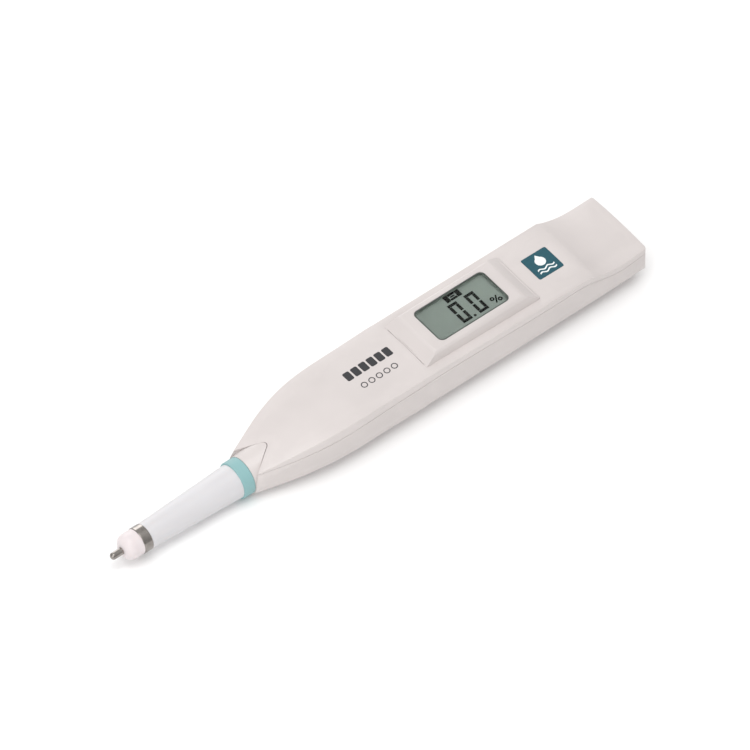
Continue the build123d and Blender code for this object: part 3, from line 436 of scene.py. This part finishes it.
def arc_band(x, y, radius, thickness, start, end, steps=24):
    """A curved band between two angles in degrees, as one outline."""
    turns = [math.radians(start + (end - start) * step / steps) for step in range(steps + 1)]
    inner, outer = radius - thickness / 2, radius + thickness / 2
    outside = [(x + outer * math.cos(turn), y + outer * math.sin(turn)) for turn in turns]
    inside = [(x + inner * math.cos(turn), y + inner * math.sin(turn)) for turn in turns]
    return outside + inside[::-1]


def bar_outline(start, end, width):
    """A straight bar with pointed ends."""
    a, b = Vector(start), Vector(end)
    along = (b - a).normalized()
    across = Vector((-along.y, along.x)) * width / 2
    tip = along * width / 2
    corners = (a, a + tip + across, b - tip + across, b, b - tip - across, a + tip - across)
    return [(p.x, p.y) for p in corners]


def ring_strip(outer_points, inner_points):
    """Four-cornered cells between two outlines with the same number of points."""
    count = len(outer_points)
    return [[outer_points[i], outer_points[(i + 1) % count], inner_points[(i + 1) % count], inner_points[i]]
            for i in range(count)]


def thin_piece(name, outlines, height_at, thickness, material, body, step=0.8 * MM):
    """One piece made of thin shapes, cut finely enough to follow the surface that they lie on."""
    mesh = bpy.data.meshes.new(name)
    shape = bmesh.new()
    for outline in outlines:
        shape.faces.new([shape.verts.new((x, y, 0)) for x, y in outline])
    for axis in (0, 1):
        places = [vert.co[axis] for vert in shape.verts]
        normal = Vector((1 - axis, axis, 0))
        for count in range(1, math.ceil((max(places) - min(places)) / step)):
            everything = shape.verts[:] + shape.edges[:] + shape.faces[:]
            bmesh.ops.bisect_plane(shape, geom=everything, dist=CUT_TOLERANCE,
                                   plane_co=normal * (min(places) + count * step), plane_no=normal)
    for vert in shape.verts:
        vert.co.z = height_at(vert.co.x, vert.co.y)
    raised = bmesh.ops.extrude_face_region(shape, geom=shape.faces[:])["geom"]
    bmesh.ops.translate(shape, verts=[item for item in raised if isinstance(item, bmesh.types.BMVert)],
                        vec=(0, 0, thickness))
    bmesh.ops.recalc_face_normals(shape, faces=shape.faces)
    shape.to_mesh(mesh)
    shape.free()
    mesh.materials.append(material)
    piece = bpy.data.objects.new(name, mesh)
    bpy.context.scene.collection.objects.link(piece)
    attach(piece, body)


def top_of(node):
    """A function that gives the height of a node's upper surface at a point."""
    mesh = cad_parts[node].data
    points = [vertex.co.copy() for vertex in mesh.vertices]
    tree = BVHTree.FromPolygons(points, [tuple(polygon.vertices) for polygon in mesh.polygons])
    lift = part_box(node)[1][2] + 0.01

    def height(x, y):
        hit = tree.ray_cast(Vector((x, y, lift)), Vector((0, 0, -1)))[0]
        if hit is None:
            raise RuntimeError(f"nothing of {node} lies under ({x:.4f}, {y:.4f})")
        return hit.z + SMALL_GAP
    return height


# --- one operator for each group of pieces ------------------------------------------------


class METER_OT_finish_case(bpy.types.Operator):
    """Satin moulded covers, the bezel and the battery door, with softened edges"""
    bl_idname = "meter.finish_case"
    bl_label = "Finish Case"

    def execute(self, context):
        settings = context.scene.meter_case
        shell = moulded("Cover plastic", tuple(settings.shell_colour), settings.shell_roughness, coat=0.1)
        finish_nodes(shell, "top_cover", "bottom_cover", "display_bezel", "battery_door")
        soften_edges(settings.edge_width, 28, "top_cover", "bottom_cover", "display_bezel", "battery_door")
        return {"FINISHED"}


class METER_OT_finish_probe(bpy.types.Operator):
    """The probe: tube, insulating tip, seal ring and the two electrodes"""
    bl_idname = "meter.finish_probe"
    bl_label = "Finish Probe"

    def execute(self, context):
        settings = context.scene.meter_probe
        tube = moulded("Tube plastic", tuple(settings.tube_colour), 0.4, bump=0.01, mottle=0.015, wear=0.0,
                       painted_shade=0.0, soft=0.15)
        # The tip gets a little painted shade in its hollows; the tube gets none.
        cap = moulded("Tip plastic", tuple(settings.cap_colour), 0.38, bump=0.02, wear=0.0, painted_shade=0.1,
                      soft=0.1)
        rubber = moulded("Seal rubber", tuple(settings.ring_colour), 0.5, grain=4000.0, bump=0.06)
        steel = metal("Electrode metal", (0.33, 0.305, 0.285), 0.2, stain=0.6)
        finish_nodes(tube, "probe_tube")
        finish_nodes(cap, "tip_insulator")
        finish_nodes(rubber, "seal_ring")
        finish_nodes(steel, "pin_electrode", "ring_electrode")
        return {"FINISHED"}


class METER_OT_finish_inside(bpy.types.Operator):
    """Everything inside the case: board, chips, cell, contacts, leads, gaskets and screws"""
    bl_idname = "meter.finish_inside"
    bl_label = "Finish Inside"

    def execute(self, context):
        black = moulded("Chip plastic", (0.02, 0.02, 0.022), 0.5, grain=5000.0, bump=0.08)
        white = moulded("Holder plastic", (0.80, 0.80, 0.77), 0.45)
        gasket = moulded("Black rubber", (0.025, 0.025, 0.028), 0.7, grain=4000.0, bump=0.12)
        finish_nodes(circuit_board("Circuit board"), "main_board")
        finish_nodes(black, "control_chip", "amplifier_chip", "power_switch")
        finish_nodes(white, "lcd_holder", "battery_holder", "switch_plunger")
        finish_nodes(gasket, "case_gasket", "button_seal", "probe_o_ring", "lcd_connector")
        finish_nodes(metal("Zinc plate", (0.58, 0.58, 0.60), 0.3), "case_screws", "board_screws")
        finish_nodes(metal("Contact plate", (0.76, 0.72, 0.62), 0.25), "positive_contact", "negative_contact")
        can = metal("Cell can", (0.68, 0.68, 0.69), 0.22, stain=0.1)
        finish_nodes(can, "battery_cell", "timing_crystal")
        finish_nodes(moulded("Ceramic", (0.30, 0.22, 0.15), 0.5), "small_components")
        finish_nodes(moulded("Core plastic", (0.66, 0.66, 0.63), 0.5), "probe_core")
        finish_nodes(moulded("Bead resin", (0.10, 0.03, 0.02), 0.25, coat=0.4), "thermistor")
        for node, colour in (("pin_lead", (0.72, 0.48, 0.04)), ("ring_lead", (0.80, 0.80, 0.78)),
                             ("thermistor_leads", (0.02, 0.02, 0.02)), ("battery_leads", (0.55, 0.02, 0.02))):
            finish_nodes(moulded(f"Insulation of {node}", colour, 0.4, bump=0.02), node)
        finish_nodes(metal("Reflector film", (0.66, 0.70, 0.66), 0.4, stain=0.05), "lcd_reflector")
        return {"FINISHED"}


class METER_OT_finish_controls(bpy.types.Operator):
    """The power button and the blank label under the case"""
    bl_idname = "meter.finish_controls"
    bl_label = "Finish Controls"

    def execute(self, context):
        ring_colour = tuple(context.scene.meter_probe.ring_colour)
        finish_nodes(moulded("Button rubber", ring_colour, 0.5, grain=3500.0, bump=0.08), "power_button")
        finish_nodes(printed("Label film", (0.62, 0.63, 0.63), 0.35), "blank_label")
        return {"FINISHED"}


class METER_OT_add_readout(bpy.types.Operator):
    """The display: clear window, grey green field, its border and the segments of the read-out"""
    bl_idname = "meter.add_readout"
    bl_label = "Add Read-out"

    def execute(self, context):
        settings = context.scene.meter_display
        window_middle, _, window_high = place("display_window")
        _, glass_low, glass_high = place("lcd_front_glass")
        finish_nodes(clear_window("Clear window"), "display_window")
        field = display_field("Display field", tuple(settings.field_colour), glass_low.x, glass_high.x)
        finish_nodes(field, "lcd_front_glass", "lcd_rear_glass")
        ink = printed("Display segments", (0.006, 0.007, 0.006), 0.4, shine=0.05)
        centre_x, height_z = window_middle.x, glass_high.z + SMALL_GAP
        text_x, text_y = centre_x + 0.5 * MM, 0.6 * MM

        def flat(x, y):
            return height_z

        # Digits stand with their tops towards +Y. The middle bar of a nought is off.
        stroke, width, height = settings.stroke, settings.digit_width, settings.digit_height
        middle_y, seam, corner, waist = text_y - 1.5 * MM, 0.07 * MM, 0.12 * MM, 0.22 * MM
        first_digit, second_digit = text_x - 1.75 * MM, text_x + 4.35 * MM
        outlines = []
        for middle_x in (first_digit, second_digit):
            for side in (-1, 1):
                bar_y = middle_y + side * (height - stroke) / 2
                outlines.append(rounded_outline(middle_x, bar_y, width, stroke, corner))
                for end in (-1, 1):
                    reach = height / 2 - stroke - seam - waist
                    bar_x = middle_x + side * (width - stroke) / 2
                    outlines.append(rounded_outline(bar_x, middle_y + end * (waist + reach / 2), stroke,
                                                    reach, corner))
        point_size, point_corner = 0.9 * MM, 0.44 * MM
        outlines.append(rounded_outline(text_x + 0.98 * MM, text_y - 5.15 * MM, point_size, point_size,
                                        point_corner))
        # The per cent sign: two rings and a slash.
        sign_x, sign_y, sign_line = text_x + 9.6 * MM, text_y - 4.2 * MM, 0.52 * MM
        for side in (-1, 1):
            for turn in (0, 90, 180, 270):
                outlines.append(arc_band(sign_x + side * 1.0 * MM, sign_y - side * 0.65 * MM, 0.5 * MM,
                                         sign_line, turn, turn + 90, 8))
        outlines.append(bar_outline((sign_x - 0.8 * MM, sign_y - 1.4 * MM),
                                    (sign_x + 0.8 * MM, sign_y + 1.4 * MM), sign_line))
        # The flag above the digits is a plain block, open in the middle round a short bar.
        flag_x, flag_y, flag_height, flag_corner = text_x + 0.35 * MM, text_y + 4.6 * MM, 2.6 * MM, 0.1 * MM
        for side in (-1, 1):
            outlines.append(rounded_outline(flag_x + side * 2.05 * MM, flag_y, 1.5 * MM, flag_height,
                                            flag_corner))
            outlines.append(rounded_outline(flag_x, flag_y + side * 0.9 * MM, 2.4 * MM, 0.8 * MM,
                                            flag_corner))
        outlines.append(rounded_outline(flag_x, flag_y, 1.6 * MM, 0.5 * MM, flag_corner))
        thin_piece("readout_segments", outlines, flat, DISPLAY_INK_THICKNESS, ink, "meter",
                   step=5 * MM)
        # A narrow grey line is printed round the edge of the window.
        line = printed("Window line", (0.085, 0.10, 0.09), 0.4)
        half_length = window_high.x - centre_x - 1.25 * MM
        half_width = window_high.y - 0.75 * MM
        edge = [rounded_outline(centre_x, 0, 2 * half_length - 2 * inset, 2 * half_width - 2 * inset,
                                1.8 * MM - inset) for inset in (0.02 * MM, 0.40 * MM)]
        top_z = window_high.z + SMALL_GAP
        thin_piece("window_line", ring_strip(*edge), lambda x, y: top_z, DISPLAY_INK_THICKNESS, line, "meter",
                   step=50 * MM)
        return {"FINISHED"}


class METER_OT_print_marks(bpy.types.Operator):
    """The plain printed marks on the upper cover and the drop on the emblem"""
    bl_idname = "meter.print_marks"
    bl_label = "Print Marks"

    def execute(self, context):
        settings = context.scene.meter_print
        ink = printed("Grey ink", tuple(settings.ink_colour))
        white = printed("White ink", (0.86, 0.90, 0.90), 0.4)
        emblem = printed("Emblem film", tuple(settings.emblem_colour), 0.3)
        finish_nodes(emblem, "emblem_plate")
        _, bezel_low, _ = place("display_bezel")
        cover = top_of("top_cover")
        # A row of level blocks and, below it, a row of small rings.
        row_x = bezel_low.x - 12.6 * MM
        blocks = [rounded_outline(row_x + step * 2.9 * MM, 1.9 * MM, 2.3 * MM, 3.4 * MM, 0.5 * MM)
                  for step in (-2.5, -1.5, -0.5, 0.5, 1.5, 2.5)]
        thin_piece("level_blocks", blocks, cover, COVER_INK_THICKNESS, ink, "meter")
        rings = []
        for step in (-2, -1, 0, 1, 2):
            rings.extend(arc_band(row_x + step * 2.8 * MM, -3.5 * MM, 0.9 * MM, 0.3 * MM, turn, turn + 90, 8)
                         for turn in (0, 90, 180, 270))
        thin_piece("small_rings", rings, cover, COVER_INK_THICKNESS, ink, "meter")
        # A drop over two waves on the emblem.
        plate_middle, plate_low, plate_high = place("emblem_plate")
        plate = top_of("emblem_plate")
        size = plate_high.x - plate_low.x
        drop_radius, drop_y = 0.185 * size, 0.10 * size
        drop = []
        for step in range(CURVE_STEPS + 1):
            turn = math.radians(-240 + 300 * step / CURVE_STEPS)
            drop.append((plate_middle.x + drop_radius * math.cos(turn),
                         drop_y + drop_radius * math.sin(turn)))
        drop.append((plate_middle.x, 0.40 * size))
        shapes = [drop]
        for level in (-0.20, -0.33):
            wave = []
            for side in (1, -1):
                for step in range(CURVE_STEPS + 1):
                    share = step / CURVE_STEPS if side == 1 else 1 - step / CURVE_STEPS
                    rise = 0.035 * size * math.sin(share * 4 * math.pi)
                    wave.append((plate_middle.x + (share - 0.5) * 0.66 * size,
                                 level * size + rise + side * 0.026 * size))
            shapes.append(wave)
        thin_piece("emblem_drop", shapes, plate, COVER_INK_THICKNESS, white, "meter")
        return {"FINISHED"}


class METER_OT_set_studio(bpy.types.Operator):
    """A pale floor, soft lights and the camera"""
    bl_idname = "meter.set_studio"
    bl_label = "Set Studio"

    def execute(self, context):
        settings = context.scene.meter_studio
        scene = context.scene
        low, high = cad_box
        centre = Vector((low[0] + VIEW_CENTRE_FROM_TIP, 0.0, high[2] - VIEW_CENTRE_BELOW_TOP))

        mesh = bpy.data.meshes.new("floor")
        shape = bmesh.new()
        bmesh.ops.create_grid(shape, x_segments=8, y_segments=8, size=FLOOR_HALF_WIDTH)
        shape.to_mesh(mesh)
        shape.free()
        floor = bpy.data.objects.new("floor", mesh)
        scene.collection.objects.link(floor)
        floor.location.z = low[2] - FLOOR_DROP
        material, add, shader = start_material("Studio floor")
        paper = add("ShaderNodeTexNoise", {"Scale": 30.0, "Detail": 3.0})
        tint = tuple(settings.floor_colour)
        base = mix_colour(add, paper.outputs["Fac"], shade(tint, 0.995), shade(tint, 1.005))
        link(shader, "Base Color", base)
        shader.inputs["Roughness"].default_value = 0.9
        mesh.materials.append(material)

        world = bpy.data.worlds.new("Studio")
        scene.world = world
        world.use_nodes = True
        background = world.node_tree.nodes["Background"]
        add = node_adder(world.node_tree)
        where = add("ShaderNodeTexCoord")
        split = add("ShaderNodeSeparateXYZ", {0: where.outputs["Generated"]})
        height = add("ShaderNodeMapRange", {"Value": split.outputs[2], "From Min": 0.0, "From Max": 0.75})
        sky = mix_colour(add, height.outputs["Result"], (0.74, 0.735, 0.73, 1), (1.0, 0.997, 0.993, 1))
        world.node_tree.links.new(sky, background.inputs["Color"])
        background.inputs["Strength"].default_value = 0.70

        for name, position, size, power in (
            ("key", (-0.15, -0.10, 0.95), 0.7, 4.1),
            ("fill", (-0.80, -0.35, 0.45), 0.6, 2.0),
            ("back", (0.35, 0.90, 0.28), 0.6, 2.2),
        ):
            light = bpy.data.lights.new(name, "AREA")
            light.shape = "DISK"
            light.size = size
            light.energy = power
            lamp = bpy.data.objects.new(name, light)
            scene.collection.objects.link(lamp)
            lamp.location = Vector(position) + centre
            lamp.rotation_euler = (centre - lamp.location).to_track_quat("-Z", "Y").to_euler()

        data = bpy.data.cameras.new("camera")
        data.sensor_width = SENSOR_WIDTH
        data.lens = settings.lens
        camera = bpy.data.objects.new("camera", data)
        scene.collection.objects.link(camera)
        back = Vector((math.sin(settings.azimuth) * math.cos(settings.elevation),
                       -math.cos(settings.azimuth) * math.cos(settings.elevation),
                       math.sin(settings.elevation)))
        distance = settings.view_width * settings.lens / SENSOR_WIDTH
        camera.location = centre + back * distance
        camera.rotation_euler = back.to_track_quat("Z", "Y").to_euler()
        data.clip_start = 0.05
        data.clip_end = 2 * distance + 5.0
        scene.camera = camera
        scene.view_settings.view_transform = "Standard"
        return {"FINISHED"}


class METER_PT_looks(bpy.types.Panel):
    """Lists the operators in the order that they run"""
    bl_idname = "METER_PT_looks"
    bl_label = "Meter Looks"
    bl_space_type = "VIEW_3D"
    bl_region_type = "UI"
    bl_category = "Meter"

    def draw(self, context):
        for operator in OPERATORS:
            self.layout.operator(operator.bl_idname)


OPERATORS = (
    METER_OT_set_studio,
    METER_OT_finish_case,
    METER_OT_finish_probe,
    METER_OT_finish_inside,
    METER_OT_finish_controls,
    METER_OT_add_readout,
    METER_OT_print_marks,
)
SETTINGS = {
    "meter_case": CaseSettings,
    "meter_probe": ProbeSettings,
    "meter_display": DisplaySettings,
    "meter_print": PrintSettings,
    "meter_studio": StudioSettings,
}


def register():
    for name, settings in SETTINGS.items():
        bpy.utils.register_class(settings)
        setattr(bpy.types.Scene, name, bpy.props.PointerProperty(type=settings))
    for operator in OPERATORS:
        bpy.utils.register_class(operator)
    bpy.utils.register_class(METER_PT_looks)


def unregister():
    bpy.utils.unregister_class(METER_PT_looks)
    for operator in reversed(OPERATORS):
        bpy.utils.unregister_class(operator)
    for name, settings in SETTINGS.items():
        delattr(bpy.types.Scene, name)
        bpy.utils.unregister_class(settings)


def main():
    register()
    for operator in OPERATORS:
        group, action = operator.bl_idname.split(".")
        getattr(getattr(bpy.ops, group), action)()


if __name__ == "__main__":
    main()
